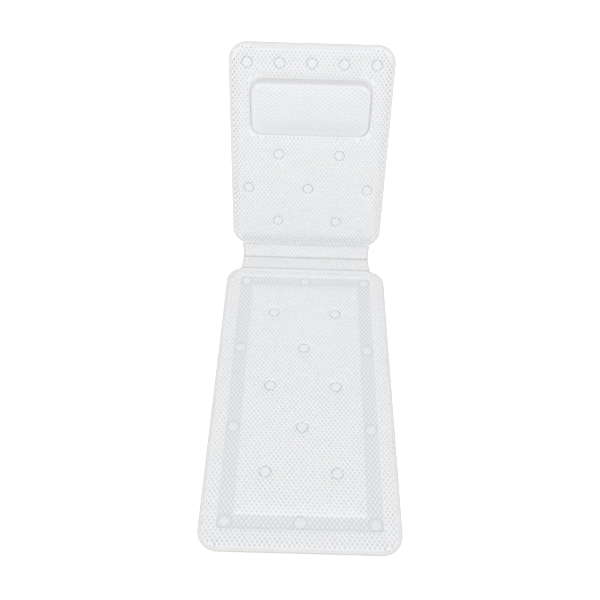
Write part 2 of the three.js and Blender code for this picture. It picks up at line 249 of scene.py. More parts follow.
# painted shade: a copy of the mesh material with a slightly darker foam colour, for the pillow and the neck webs,
# which the lamps light more strongly
shadedMeshMaterial = foamedMesh("shaded_foamed_pvc_mesh", dict(meshLook, foam=meshLook["shadedFoam"]))
weldMaterial = weldedVinyl("welded_pvc_edge", weldLook)
cupMaterial = softVinyl("clear_soft_pvc", cupLook)
foamMaterial = cellFoam("polyurethane_foam", foamLook)
print("materials made")


def addPiece(mesh, body, material, node, bend=None):
    mesh.transform(places[body] @ Matrix.Scale(mm, 4))
    mesh.polygons.foreach_set("use_smooth", [True] * len(mesh.polygons))
    mesh.materials.clear()
    mesh.materials.append(material)
    obj = bpy.data.objects.new(mesh.name, mesh)
    scene.collection.objects.link(obj)
    if bend:
        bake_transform(obj)
    else:
        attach(obj, body)
    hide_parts(node)
    return obj


def meshOf(bm, name):
    mesh = bpy.data.meshes.new(name)
    bm.to_mesh(mesh)
    bm.free()
    return mesh


def addLayer(mesh, name, values):
    layer = mesh.attributes.new(name, "FLOAT", "POINT")
    layer.data.foreach_set("value", values.astype(np.float32))


def flatGrid(low, high, cells, level=0):
    bm = bmesh.new()
    bmesh.ops.create_grid(bm, x_segments=cells[0], y_segments=cells[1], size=0.5)
    bmesh.ops.scale(bm, vec=(high[0] - low[0], high[1] - low[1], 1), verts=bm.verts)
    middle = ((low[0] + high[0]) / 2, (low[1] + high[1]) / 2, level)
    bmesh.ops.translate(bm, vec=middle, verts=bm.verts)
    return bm


def cellCount(low, high, cellMm):
    return [round((high[k] - low[k]) / cellMm) for k in (0, 1)]


def raiseFaces(bm, height):
    made = bmesh.ops.extrude_face_region(bm, geom=bm.faces[:])
    upper = [g for g in made["geom"] if isinstance(g, bmesh.types.BMVert)]
    bmesh.ops.translate(bm, vec=(0, 0, height), verts=upper)
    bmesh.ops.recalc_face_normals(bm, faces=bm.faces)


# Distances in a panel's flat frame
def inside(x, y, low, high, radius):
    # distance inside a rectangle with round corners, negative outside
    dx = np.abs(x - (low[0] + high[0]) / 2) - (high[0] - low[0]) / 2 + radius
    dy = np.abs(y - (low[1] + high[1]) / 2) - (high[1] - low[1]) / 2 + radius
    return radius - np.hypot(np.maximum(dx, 0), np.maximum(dy, 0)) - np.minimum(np.maximum(dx, dy), 0)


def outward(x, y, low, high, radius):
    # direction away from a rounded rectangle's middle, across its outline
    step = 0.5
    sideways = inside(x - step, y, low, high, radius) - inside(x + step, y, low, high, radius)
    lengthways = inside(x, y - step, low, high, radius) - inside(x, y + step, low, high, radius)
    return np.stack([sideways, lengthways], axis=1) / (2 * step)


def swell(distance, width, fullness=2):
    # a climb from 0 to 1: straight with a fullness of 1, a quarter circle with 2
    t = np.clip(distance / width, 0, 1)
    return (1 - (1 - t) ** fullness) ** (1 / fullness)


def ease(distance, width):
    t = np.clip(distance / width, 0, 1)
    return t * t * (3 - 2 * t)


def grown(low, high, by):
    return ((low[0] - by, low[1] - by), (high[0] + by, high[1] + by))


def nearest(x, y, centres):
    return np.min([np.hypot(x - cx, y - cy) for cx, cy in centres], axis=0)


# The open mesh: beads at the corners of diamonds, a hole in the middle of each
weave = {"across": 8.66, "along": 12.16, "hole": 0.275, "beadMm": 0.45, "filmBeadMm": 0.7, "filmPower": 1.4,
         "cornerPlanes": 12, "webShare": 0.28, "insetShare": 0.3, "mostSides": 5, "crossMm": 0.01}


def outlinePlanes(low, high, radius):
    # places and outward angles of planes that touch a rectangle with round corners
    middle = [(low[k] + high[k]) / 2 for k in (0, 1)]
    cuts = [((low[0], middle[1]), math.pi), ((high[0], middle[1]), 0.0),
            ((middle[0], low[1]), -math.pi / 2), ((middle[0], high[1]), math.pi / 2)]
    for sideX, sideY in ((-1, -1), (1, -1), (1, 1), (-1, 1)) if radius else ():
        edge = (high[0] if sideX > 0 else low[0], high[1] if sideY > 0 else low[1])
        centre = (edge[0] - sideX * radius, edge[1] - sideY * radius)
        for k in range(1, weave["cornerPlanes"]):
            turn = k / weave["cornerPlanes"] * math.pi / 2
            out = (sideX * math.cos(turn), sideY * math.sin(turn))
            touch = (centre[0] + radius * out[0], centre[1] + radius * out[1])
            cuts.append((touch, math.atan2(out[1], out[0])))
    return cuts


def planeCut(bm, place, angle, geom=None, clear=False):
    if geom is None:
        geom = bm.verts[:] + bm.edges[:] + bm.faces[:]
    return bmesh.ops.bisect_plane(bm, geom=geom, dist=cutMm, plane_co=(*place, 0), clear_outer=clear,
                                  plane_no=(math.cos(angle), math.sin(angle), 0))["geom"]


def trimTo(bm, low, high, radius):
    for place, angle in outlinePlanes(low, high, radius):
        planeCut(bm, place, angle, clear=True)


def chosen(items, spots, rule):
    # the items whose flat place the rule picks
    flat = np.array([(p.x, p.y) for p in spots], float).reshape(-1, 2)
    picked = rule(flat[:, 0], flat[:, 1])
    return [item for item, keep in zip(items, picked) if keep]


def chosenFaces(bm, rule):
    return chosen(bm.faces[:], [f.calc_center_median() for f in bm.faces], rule)


def removeFaces(bm, rule):
    bmesh.ops.delete(bm, geom=chosenFaces(bm, rule), context="FACES")


def cutFaces(bm, faces, place, angle):
    around = dict.fromkeys(part for f in faces for part in (*f.edges, *f.verts))
    made = planeCut(bm, place, angle, faces + list(around))
    return [g for g in made if isinstance(g, bmesh.types.BMFace)]


def cutOutline(bm, low, high, radius, spared=None):
    # cut only the cells that an outline crosses
    def beside(x, y):
        close = np.abs(inside(x, y, low, high, radius)) < weave["along"]
        return close & ~spared(x, y) if spared else close

    near = chosenFaces(bm, beside)
    for place, angle in outlinePlanes(low, high, radius):
        spots = np.array([(v.co.x, v.co.y) for f in near for v in f.verts])
        first = np.cumsum([0] + [len(f.verts) for f in near[:-1]])
        depth = inside(spots[:, 0], spots[:, 1], low, high, radius)
        least, most = [pick.reduceat(depth, first) for pick in (np.minimum, np.maximum)]
        crossed = (least < -weave["crossMm"]) & (most > weave["crossMm"])
        made = cutFaces(bm, [f for f, hit in zip(near, crossed) if hit], place, angle)
        near = [f for f, hit in zip(near, crossed) if not hit] + made


def trimWithTongue(bm, low, high, radius, tongue):
    # an outline with a straight tongue that runs past it up to a fold
    (left, bottom), (right, top) = tongue
    trimTo(bm, (min(low[0], left), min(low[1], bottom)), (max(high[0], right), max(high[1], top)), 0)
    for edge in (left, right):
        cutFaces(bm, chosenFaces(bm, lambda x, y: (y > bottom) & (y < top)), (edge, 0), 0)
    cutOutline(bm, low, high, radius, spared=lambda x, y: inside(x, y, *tongue, 0) > 0)
    removeFaces(bm, lambda x, y: np.maximum(inside(x, y, low, high, radius), inside(x, y, *tongue, 0)) < 0)


def roomAround(face, hub, halfX, halfY):
    # least distance from a diamond's middle to the sides of its face, in half diamonds
    corners = [((v.co.x - hub.x) / halfX, (v.co.y - hub.y) / halfY) for v in face.verts]
    sides = zip(corners, corners[1:] + corners[:1])
    return min((ax * by - ay * bx) / max(math.hypot(bx - ax, by - ay), tiny)
               for (ax, ay), (bx, by) in sides)


def climbsRight(edge):
    run = edge.verts[0].co - edge.verts[1].co
    return run.x * run.y > 0


def openMesh(low, high, radius=0, turned=False, sides=8, hole=weave["hole"], melted=None, finer=(),
             left=None, window=None, tongue=None, rings=(), aside=0):
    halfX, halfY = weave["across"] / 2, weave["along"] / 2
    if turned:
        halfX, halfY = halfY, halfX
    middle = ((low[0] + high[0]) / 2 + aside * halfX, (low[1] + high[1]) / 2)
    reach = (high[0] - low[0]) / (2 * halfX) + (high[1] - low[1]) / (2 * halfY)
    count = 2 * math.ceil(reach / 2 + 2)
    bm = bmesh.new()
    bmesh.ops.create_grid(bm, x_segments=count, y_segments=count, size=count / 2)
    toDiamonds = Matrix(((halfX, -halfX, 0, middle[0]), (halfY, halfY, 0, middle[1]),
                         (0, 0, 1, 0), (0, 0, 0, 1)))
    bmesh.ops.transform(bm, matrix=toDiamonds, verts=bm.verts)
    if tongue:
        trimWithTongue(bm, low, high, radius, tongue)
    else:
        trimTo(bm, low, high, radius)
    if window:
        cutOutline(bm, *window)
        removeFaces(bm, lambda x, y: inside(x, y, *window) > 0)
    for ring in rings:
        cutOutline(bm, *ring)
    if left:
        removeFaces(bm, left)
    toGrid = toDiamonds.inverted()
    cells = {}
    for face in bm.faces:
        cell = toGrid @ face.calc_center_median()
        hub = toDiamonds @ Vector((math.floor(cell.x) + 0.5, math.floor(cell.y) + 0.5, 0))
        size = hole(hub.x, hub.y) if callable(hole) else hole
        simple = len(face.verts) <= weave["mostSides"]
        if simple and roomAround(face, hub, halfX, halfY) > size + weave["webShare"]:
            cells[face] = (hub, size)
    whole = list(cells)
    # an eight-sided hole needs all four sides of its diamond split, a six-sided one only two
    split = [e for e in bm.edges if sides == 8 or climbsRight(e)]
    bmesh.ops.bisect_edges(bm, edges=split, cuts=1)
    inset = weave["insetShare"] * halfX
    bmesh.ops.inset_individual(bm, faces=whole, thickness=inset, use_even_offset=True)
    for face, (hub, size) in cells.items():
        for vert in face.verts:
            out = vert.co - hub
            vert.co = hub + out * (size / math.hypot(out.x / halfX, out.y / halfY))
    shut = chosen(whole, [hub for hub, size in cells.values()], melted) if melted else []
    holes = set(whole) - set(shut)
    bmesh.ops.poke(bm, faces=shut)
    bmesh.ops.delete(bm, geom=list(holes), context="FACES")
    for zone, cuts in finer:
        near = chosen(bm.edges[:], [(e.verts[0].co + e.verts[1].co) / 2 for e in bm.edges], zone)
        bmesh.ops.subdivide_edges(bm, edges=near, cuts=cuts, use_grid_fill=True)
    bmesh.ops.recalc_face_normals(bm, faces=bm.faces)
    if sum(f.normal.z for f in bm.faces) < 0:
        bmesh.ops.reverse_faces(bm, faces=bm.faces)
    return bm, (middle, halfX, halfY)


def beads(x, y, lattice):
    middle, halfX, halfY = lattice
    return np.cos(math.pi * (x - middle[0]) / halfX) * np.cos(math.pi * (y - middle[1]) / halfY)


def shapeSheet(mesh, lattice, form, bumpMm):
    # form gives height, pressing share (with painted shade in it) and bump share at flat places, and the beads
    # stand on that
    co = coordinates(mesh)
    x, y = co[:, 0], co[:, 1]
    bead = beads(x, y, lattice)
    height, pressAndShade, bump = form(x, y)
    film = np.clip(pressAndShade, 0, 1)
    filmBead = weave["filmBeadMm"] * np.maximum(bead, 0) ** weave["filmPower"]
    co[:, 2] = height + bump * ((1 - film) * bumpMm * bead + film * filmBead)
    setCoordinates(mesh, co)
    addLayer(mesh, "bead", 0.5 + 0.5 * bead * np.minimum(bump, 1))
    addLayer(mesh, "pressAndShade", pressAndShade)
    mesh.update()


def flatForm(level, bump):
    return lambda x, y: (level + 0 * x, 0 * x, bump + 0 * x)


def addSheet(mesh, body, material, node, thicknessMm):
    obj = addPiece(mesh, body, material, node)
    wall = obj.modifiers.new("sheet", "SOLIDIFY")
    wall.thickness = thicknessMm * mm
    wall.offset = -1
    return obj


def addPadSheet(mesh, body, material, node, part):
    addSheet(mesh, body, material, node, part["sheetMm"])
    print(mesh.name, "has", len(mesh.polygons), "faces before thickness")


# The weld round a cup: a pressed ring in a pad, or a raised disc in a thin place
cupMark = {"ringMm": 10.9, "ringWidthMm": 1.7, "ringDepthMm": 1.2, "ringPress": 1.35, "ringBump": 0.45,
           "insideShade": 0.3, "insideBump": 1.3, "weldMm": 13, "dimpleMm": 0.8, "dimpleReachMm": 16,
           "padRise": 0.5, "discMm": 10.2, "discRound": 2.4, "discRiseMm": 1.1, "discPress": -0.5,
           "discBump": 0.7, "moatMm": 11.2, "moatWidthMm": 3.0, "moatPress": 0.1}


def markCups(x, y, centres, rise):
    part = cupMark
    away = nearest(x, y, centres)
    padded = rise > part["padRise"]
    within = away < part["ringMm"]
    ring = np.exp(-((away - part["ringMm"]) / part["ringWidthMm"]) ** 2)
    dimple = np.exp(-(away / part["dimpleReachMm"]) ** 2)
    disc = np.sqrt(np.clip(1 - (away / part["discMm"]) ** part["discRound"], 0, 1))
    moat = np.exp(-((away - part["moatMm"]) / part["moatWidthMm"]) ** 2)
    height = np.where(padded, -part["ringDepthMm"] * ring - part["dimpleMm"] * dimple,
                      part["discRiseMm"] * disc)
    # inside the ring, film colour in the shut holes' dimples is painted shade, where open holes would be shaded
    pressAndShade = np.where(padded, part["ringPress"] * ring + part["insideShade"] * within,
                     part["moatPress"] * moat + part["discPress"] * disc)
    ringed = np.where(within, part["insideBump"], 1) * (1 - (1 - part["ringBump"]) * ring)
    return height, pressAndShade, np.where(padded, ringed, np.where(disc > 0, part["discBump"], 1 - moat))


# Near the cups' rings and the edges of the pads the mesh is cut finer
fineMesh = {"edgeMm": 4, "ringMm": (4, 3), "padInMm": 2, "rimInMm": 1.5, "rimCornerMm": 31,
            "windowCornerMm": 26}


def atRing(x, y, centres, reach):
    return np.abs(nearest(x, y, centres) - cupMark["ringMm"]) < reach


def finerZones(cups, edges):
    # edges gives the distances from the lines along which the sheet bends most
    wide, narrow = fineMesh["ringMm"]

    def fine(x, y):
        return (np.min(np.abs(edges(x, y)), axis=0) < fineMesh["edgeMm"]) | atRing(x, y, cups, wide)

    return [(fine, 1), (lambda x, y: atRing(x, y, cups, narrow), 1)]


# Padding: a coarse cloth over a panel, pinned at its welds, is blown up, and the mesh follows its moves
puff = {"cellMm": 6.0, "pressure": 4.0, "frames": 20, "stiffness": 15.0, "quality": 5, "heldRise": 0.6}


def puffed(low, high, form, held, capMm):
    # moves in millimetres, as a function of flat places, of a cloth that starts from the form
    count = cellCount(low, high, puff["cellMm"])
    mesh = meshOf(flatGrid(low, high, count), "cloth")
    start = coordinates(mesh)
    start[:, 2] = form(start[:, 0], start[:, 1])
    setCoordinates(mesh, start * mm)
    cloth = bpy.data.objects.new("cloth", mesh)
    scene.collection.objects.link(cloth)
    welds = cloth.vertex_groups.new(name="welds")
    welds.add(np.flatnonzero(held(start[:, 0], start[:, 1])).tolist(), 1.0, "REPLACE")
    sim = cloth.modifiers.new("cloth", "CLOTH")
    sim.settings.vertex_group_mass = "welds"
    sim.settings.quality = puff["quality"]
    sim.settings.tension_stiffness = puff["stiffness"]
    sim.settings.use_pressure = True
    sim.settings.uniform_pressure_force = puff["pressure"]
    sim.settings.effector_weights.gravity = 0
    sim.point_cache.frame_end = puff["frames"]
    for step in range(1, puff["frames"] + 1):
        scene.frame_set(step)
    blown = coordinates(cloth.evaluated_get(bpy.context.evaluated_depsgraph_get()).data) / mm
    bpy.data.objects.remove(cloth)
    bpy.data.meshes.remove(mesh)
    scene.frame_set(1)
    move = blown - start
    length = np.linalg.norm(move, axis=1, keepdims=True)
    print("cloth of", len(start), "points moved by up to", round(float(length.max()), 2), "mm")
    move *= capMm * np.tanh(length / capMm) / np.maximum(length, tiny)
    rows = np.lexsort((np.round(start[:, 0], 2), np.round(start[:, 1], 2)))
    field = move[rows].reshape(count[1] + 1, count[0] + 1, 3)

    def moves(x, y):
        u = np.clip((x - low[0]) / (high[0] - low[0]), 0, 1 - tiny) * count[0]
        v = np.clip((y - low[1]) / (high[1] - low[1]), 0, 1 - tiny) * count[1]
        i, j = u.astype(int), v.astype(int)
        u, v = (u - i)[:, None], (v - j)[:, None]
        near = (1 - u) * field[j, i] + u * field[j, i + 1]
        return (1 - v) * near + v * ((1 - u) * field[j + 1, i] + u * field[j + 1, i + 1])

    return moves


# The faces run over the weld up to their folds, between the neck's edges
foldStretch = {"halfMm": 145.9, "gapMm": 0.4, "overMm": 8, "farMm": 80, "fadeMm": 4, "dipMm": 1.1,
               "bandMm": 9}


def tongueTo(edge, outline):
    # from inside the face's outline to just short of the panel's edge at the fold
    side = 1 if outline > edge else -1
    inner, short = outline + side * foldStretch["overMm"], edge + side * foldStretch["gapMm"]
    half = foldStretch["halfMm"]
    return (-half, min(inner, short)), (half, max(inner, short))


def fromRim(x, y, low, high, radius, foldSide):
    # distance from the rim, which doesn't count along the fold
    far = foldStretch["farMm"]
    wide = ((low[0], low[1] - far), high) if foldSide < 0 else (low, (high[0], high[1] + far))
    depth = inside(x, y, low, high, radius)
    along = np.clip((foldStretch["halfMm"] - np.abs(x)) / foldStretch["fadeMm"], 0, 1)
    return depth + along * (inside(x, y, *wide, radius) - depth)


# Towards the rim the sheet is pressed a little and its beads flatten
margin = {"pressAndShade": 0.1, "pressMm": 2, "bump": 0.1, "bumpMm": 3}


def towardsRim(rim, pressAndShade, bump):
    pressAndShade = np.maximum(pressAndShade, margin["pressAndShade"] * np.clip(1 - rim / margin["pressMm"], 0, 1))
    return pressAndShade, bump * np.clip(margin["bump"] + rim / margin["bumpMm"], 0, 1)


# Seat face: border pad, sunken channel, middle pad, and a greyer strip along the foot that is painted shade
seatFace = {"cornerMm": 38, "edgeMm": 5.05, "padFootMm": 5.4, "foamInsetMm": 1.8, "padCornerMm": 5,
            "padEdgeMm": 5, "sheetMm": 1.0, "fill": 0.8, "puffMm": 1.2, "rimEaseMm": 8, "foldEaseMm": 14,
            "channelPress": 1.5, "shutMm": 1, "channelShutMm": 2, "foldShutMm": (-1, 4), "footShade": 0.7,
            "footMm": 24}
seatRim = flatBox("seat_rim", "seat")
weldTop = seatRim[1][2]
padTop = flatBox("seat_face_sheet", "seat")[1][2] - weave["beadMm"]
middlePad = grown(*flatBox("seat_middle_foam", "seat"), seatFace["foamInsetMm"])
channelWidth = 2 * (middlePad[0][0] - seatCups[0][0])
channelEdge = grown(*middlePad, channelWidth)
seatPad = grown(*seatRim, -seatFace["padFootMm"])


def seatFromRim(x, y):
    return fromRim(x, y, *seatPad, seatFace["cornerMm"] - seatFace["padFootMm"], 1)


def channelDepths(x, y):
    # distances inside the channel's outer edge and inside the middle pad
    return [inside(x, y, *area, seatFace["padCornerMm"]) for area in (channelEdge, middlePad)]


def seatRise(x, y):
    part = seatFace
    channel, middle = channelDepths(x, y)
    rim, fold = ease(seatFromRim(x, y), part["rimEaseMm"]), ease(seatPad[1][1] - y, part["foldEaseMm"])
    border = np.minimum(np.minimum(rim, fold), swell(-channel, part["padEdgeMm"]))
    return np.maximum(border, swell(middle, part["padEdgeMm"]))


def padLevel(rise):
    return weldTop + (padTop - weldTop) * rise


def padPuff(rim, rise, cups, capMm):
    def held(x, y):
        return (rise(x, y) < puff["heldRise"]) | (nearest(x, y, cups) < cupMark["weldMm"])

    return puffed(*grown(*rim, 0), lambda x, y: padLevel(rise(x, y)), held, capMm)


seatPuff = padPuff(seatRim, seatRise, seatCups, seatFace["puffMm"])


def seatForm(x, y):
    rise = seatRise(x, y)
    height, pressAndShade, bump = markCups(x, y, seatCups, rise)
    channel = np.clip(1 - seatFace["channelPress"] * rise, 0, 1)
    pressAndShade = np.where(channelDepths(x, y)[0] > 0, channel + pressAndShade, pressAndShade)
    pressAndShade, bump = towardsRim(seatFromRim(x, y), pressAndShade, bump)
    # painted shade: film colour mixed in along the foot, fading over footMm
    foot = 1 - np.clip((y - seatPad[0][1]) / seatFace["footMm"], 0, 1)
    pressAndShade = np.maximum(pressAndShade, seatFace["footShade"] * foot)
    return padLevel(rise) + height + seatPuff(x, y)[:, 2], pressAndShade, bump


def seatMelted(x, y):
    channel, middle = channelDepths(x, y)
    fromFold = seatPad[1][1] - y
    byWelds = np.minimum(channel, -middle) > -seatFace["channelShutMm"]
    byRim = seatFromRim(x, y) < seatFace["shutMm"]
    byFold = (fromFold > seatFace["foldShutMm"][0]) & (fromFold < seatFace["foldShutMm"][1])
    return byWelds | byRim | byFold | (nearest(x, y, seatCups) < cupMark["weldMm"])


def seatBends(x, y):
    channel, middle = channelDepths(x, y)
    rim = inside(x, y, *seatPad, fineMesh["rimCornerMm"])
    return [channel + fineMesh["padInMm"], middle - fineMesh["padInMm"], rim - fineMesh["rimInMm"]]


outline = grown(*seatRim, -seatFace["edgeMm"])
bm, lattice = openMesh(*outline, seatFace["cornerMm"] - seatFace["edgeMm"], melted=seatMelted,
                       finer=finerZones(seatCups, seatBends),
                       tongue=tongueTo(seatRim[1][1], outline[1][1]))
mesh = meshOf(bm, "seat_face_mesh")
shapeSheet(mesh, lattice, seatForm, weave["beadMm"])
addPadSheet(mesh, "seat", meshMaterial, "seat_face_sheet", seatFace)

# Back face: one pad with a window for the pillow, and a melted strip along the top edge
backFace = {"cornerMm": 38, "edgeMm": 5.05, "padFootMm": 5.4, "padCornerMm": 26.3, "padEdgeMm": (9, 5, 10),
            "padFullness": (1.1, 1.6, 1.4), "windowMm": 3.4, "sheetMm": 1.0, "fill": 0.8, "puffMm": 1.2,
            "rimEaseMm": 9, "foldEaseMm": 15, "hole": 0.31, "neckMm": 28, "neckPower": 0.5,
            "neckHole": 0.09, "neckBump": 0.7, "rollMm": 1.2, "rollReachMm": 8, "shutMm": 1,
            "windowShutMm": 2, "topShutMm": (9, 4), "topHalfMm": (131, 12), "topPress": 0.9,
            "topShutFrom": 0.5, "lipMm": (0.4, 1.2)}
backRim = flatBox("back_rim", "back")
pillowBox = flatBox("pillow_cover", "back")
pillowArea = grown(*pillowBox, 0)
backPad = grown(*backRim, -backFace["padFootMm"])
window = (*grown(*pillowBox, backFace["windowMm"]), backFace["padCornerMm"])


def backFromRim(x, y):
    return fromRim(x, y, *backPad, backFace["cornerMm"] - backFace["padFootMm"], -1)


def backRise(x, y):
    part = backFace
    rim, fold = ease(backFromRim(x, y), part["rimEaseMm"]), ease(y - backPad[0][1], part["foldEaseMm"])
    facing = outward(x, y, *window)[:, 1]
    width, fullness = [np.interp(facing, (-1, 0, 1), part[key]) for key in ("padEdgeMm", "padFullness")]
    return np.minimum(np.minimum(rim, fold), swell(-inside(x, y, *window), width, fullness))


backPuff = padPuff(backRim, backRise, backCups, backFace["puffMm"])


def topMelt(x, y):
    # the strip that the weld tool has heated along the top edge, between the corners
    (reach, fade), (half, halfFade) = backFace["topShutMm"], backFace["topHalfMm"]
    return ease(y - backPad[1][1] + reach, fade) * ease(half - np.abs(x), halfFade)


def backMelted(x, y):
    byWindow = inside(x, y, *window) > -backFace["windowShutMm"]
    byRim = (topMelt(x, y) > backFace["topShutFrom"]) | (backFromRim(x, y) < backFace["shutMm"])
    return byWindow | byRim | (nearest(x, y, backCups) < cupMark["weldMm"])


def nearNeck(y):
    return np.clip(1 - (y - backRim[0][1]) / backFace["neckMm"], 0, 1) ** backFace["neckPower"]


def backForm(x, y):
    rise = backRise(x, y)
    height, pressAndShade, bump = markCups(x, y, backCups, rise)
    pressAndShade, bump = towardsRim(backFromRim(x, y), pressAndShade, bump + backFace["neckBump"] * nearNeck(y))
    pressAndShade = np.maximum(pressAndShade, backFace["topPress"] * topMelt(x, y))
    return padLevel(rise) + height + backPuff(x, y)[:, 2], pressAndShade, bump


def backBends(x, y):
    around = inside(x, y, *window[:2], fineMesh["windowCornerMm"])
    rim = inside(x, y, *backPad, fineMesh["rimCornerMm"])
    return [around + fineMesh["padInMm"], rim - fineMesh["rimInMm"]]


# The pillow sags a little, so it hides the groove below and beside it and bares it above
sag = {"share": 0.75, "upward": -1.25, "least": -0.5}


def rolledOver(x, y, area, roll):
    out = outward(x, y, *area)
    return out * np.clip(sag["share"] + sag["upward"] * out[:, 1], sag["least"], 1)[:, None] * roll


outline = grown(*backRim, -backFace["edgeMm"])
bm, lattice = openMesh(*outline, backFace["cornerMm"] - backFace["edgeMm"], melted=backMelted,
                       hole=lambda x, y: backFace["hole"] + backFace["neckHole"] * nearNeck(y),
                       finer=finerZones(backCups, backBends), window=window,
                       rings=[(*grown(*window[:2], by), window[2] + by) for by in backFace["lipMm"]],
                       tongue=tongueTo(backRim[0][1], outline[0][1]))
mesh = meshOf(bm, "back_face_mesh")
shapeSheet(mesh, lattice, backForm, weave["beadMm"])
co = coordinates(mesh)
away = -inside(co[:, 0], co[:, 1], *window)[:, None]
roll = backFace["rollMm"] * np.sin(math.pi * np.clip(away / backFace["rollReachMm"], 0, 1))
co[:, :2] -= rolledOver(co[:, 0], co[:, 1], window, roll)
setCoordinates(mesh, co)
addPadSheet(mesh, "back", meshMaterial, "back_face_sheet", backFace)

# Pillow: a crowned cover with its mesh turned a quarter turn, and painted shade on its upper wall
pillow = {"cornerMm": 22, "wallMm": (0.2, 2.4), "wallFootMm": 0.6, "reachMm": 30, "fullness": (1.15, 2.6),
          "gentleMm": 50, "footMm": 3, "leastMm": 0.01, "sheetMm": 1.0, "fill": 0.9, "hole": 0.18,
          "beadMm": 0.2, "bumpMm": 6, "startShare": 0.88, "heldMm": 1.5, "puffMm": 3.5, "rollMm": 3.4,
          "rollReachMm": 9, "meltedMm": 4.5, "edgeMm": (0.3, 0.8, 1.6, 2.8, 4.6), "finerMm": (12, 4),
          "upperSealShade": 1.12, "upperSealShadeMm": (1.6, 3), "shadePress": 0.45, "shadeMm": 18, "coreMm": 1.4,
          "coreInsetMm": 1.5, "coreCellMm": 5, "coreLeastMm": 0.5}


def pillowDepth(x, y):
    return inside(x, y, *pillowArea, pillow["cornerMm"])


def fromGentle(y, values):
    # between a value at the lower edge, which climbs gently, and one higher up
    return values[0] + (values[1] - values[0]) * ease(y - pillowArea[0][1], pillow["gentleMm"])


def pillowCrown(x, y):
    # contours grow rounder as they climb, so the corners stay low
    (lowX, lowY), (highX, highY) = pillowArea
    sideX = np.maximum(np.minimum(x - lowX, highX - x), pillow["leastMm"])
    sideY = np.maximum(np.minimum(y - lowY, highY - y), pillow["leastMm"])
    fullness = fromGentle(y, pillow["fullness"])
    crown = swell((sideX ** -2 + sideY ** -2) ** -0.5, pillow["reachMm"], fullness)
    return crown * np.clip(pillowDepth(x, y) / pillow["footMm"], 0, 1)


def pillowLevel(x, y):
    bottom, top = pillowBox[0][2], pillowBox[1][2] - pillow["beadMm"]
    wall = fromGentle(y, pillow["wallMm"])
    crown = pillow["startShare"] * (top - bottom - wall) * pillowCrown(x, y)
    return bottom + wall * np.clip(pillowDepth(x, y) / pillow["wallFootMm"], 0, 1) + crown


def pillowWallShade(x, y):
    # painted shade: film and seal colours mixed in along the pillow's upper side, strongest at its wall and fading
    # inwards, in place of the shade of the groove above it
    up = np.clip(outward(x, y, *pillowArea, pillow["cornerMm"])[:, 1], 0, 1)
    deep = pillowDepth(x, y)
    sealAndShade = pillow["upperSealShade"] * (1 - ease(deep - pillow["upperSealShadeMm"][0], pillow["upperSealShadeMm"][1]))
    return up * np.maximum(sealAndShade, pillow["shadePress"] * (1 - ease(deep, pillow["shadeMm"])))


def pillowForm(x, y):
    bump = np.clip(pillowDepth(x, y) / pillow["bumpMm"], 0, 1)
    return pillowLevel(x, y), pillowWallShade(x, y), bump


pillowPuff = puffed(*pillowArea, pillowLevel, lambda x, y: pillowDepth(x, y) < pillow["heldMm"],
                    pillow["puffMm"])


def rolledOut(x, y):
    # the blown cloth's moves, with the wall rolled out over the groove
    deep = pillowDepth(x, y)[:, None]
    move = pillowPuff(x, y) * np.clip(deep / pillow["footMm"], 0, 1)
    roll = pillow["rollMm"] * np.sin(math.pi * np.sqrt(np.clip(deep / pillow["rollReachMm"], 0, 1)))
    move[:, :2] += rolledOver(x, y, (*pillowArea, pillow["cornerMm"]), roll)
    return move


bm, lattice = openMesh(*pillowArea, pillow["cornerMm"], turned=True, hole=pillow["hole"],
                       melted=lambda x, y: pillowDepth(x, y) < pillow["meltedMm"],
                       rings=[(*grown(*pillowArea, -by), pillow["cornerMm"] - by)
                              for by in pillow["edgeMm"]],
                       finer=[(lambda x, y, reach=reach: pillowDepth(x, y) < reach, 1)
                              for reach in pillow["finerMm"]])
mesh = meshOf(bm, "pillow_mesh")
flat = coordinates(mesh)
shapeSheet(mesh, lattice, pillowForm, pillow["beadMm"])
setCoordinates(mesh, coordinates(mesh) + rolledOut(flat[:, 0], flat[:, 1]))
addPadSheet(mesh, "back", shadedMeshMaterial, "pillow_cover", pillow)

# Neck webs: flat mesh, drawn in at the middle fold
neck = {"edgeMm": 5.05, "bump": 0.8, "hole": 0.23, "sheetMm": 1.0, "faceDropMm": 0.6, "baseLiftMm": 0.4,
        "endMm": 0.01}


def neckSides(body):
    # half width of the web at its first and last fold, from its right rim
    points = flatPoints(f"{body}_rim_right", body)
    first, last = points[:, 1].min(), points[:, 1].max()
    ends = [points[np.abs(points[:, 1] - y) < neck["endMm"]][:, 0].max() for y in (first, last)]
    return first, last, ends[0], ends[1]


def neckHalf(body, y):
    # half width along the web, which is drawn in at the middle fold
    first, last, wideFirst, wideLast = neckSides(body)
    along = (y - first) / (last - first)
    bend = along if wideLast > wideFirst else 1 - along
    return min(wideFirst, wideLast) + abs(wideLast - wideFirst) * bend ** 2


def neckSheet(body, kind, level, upper):
    first, last, wideFirst, wideLast = neckSides(body)
    half = max(wideFirst, wideLast) - neck["edgeMm"]
    bm, lattice = openMesh((-half, first), (half, last), sides=8 if upper else 6, hole=neck["hole"],
                           aside=0 if upper else 1)
    mesh = meshOf(bm, f"{body}_{kind}_mesh")
    shapeSheet(mesh, lattice, flatForm(level, neck["bump"]), weave["beadMm"] if upper else -weave["beadMm"])
    co = coordinates(mesh)
    co[:, 0] *= (neckHalf(body, co[:, 1]) - neck["edgeMm"]) / half
    setCoordinates(mesh, co)
    if not upper:
        mesh.flip_normals()
    addSheet(mesh, body, shadedMeshMaterial, f"{body}_{kind}", neck["sheetMm"])


for body in ("neck_lower", "neck_upper"):
    neckSheet(body, "face", weldTop - neck["faceDropMm"], True)
    neckSheet(body, "base", flatBox(f"{body}_base", body)[0][2] + neck["baseLiftMm"], False)
print("neck webs made")

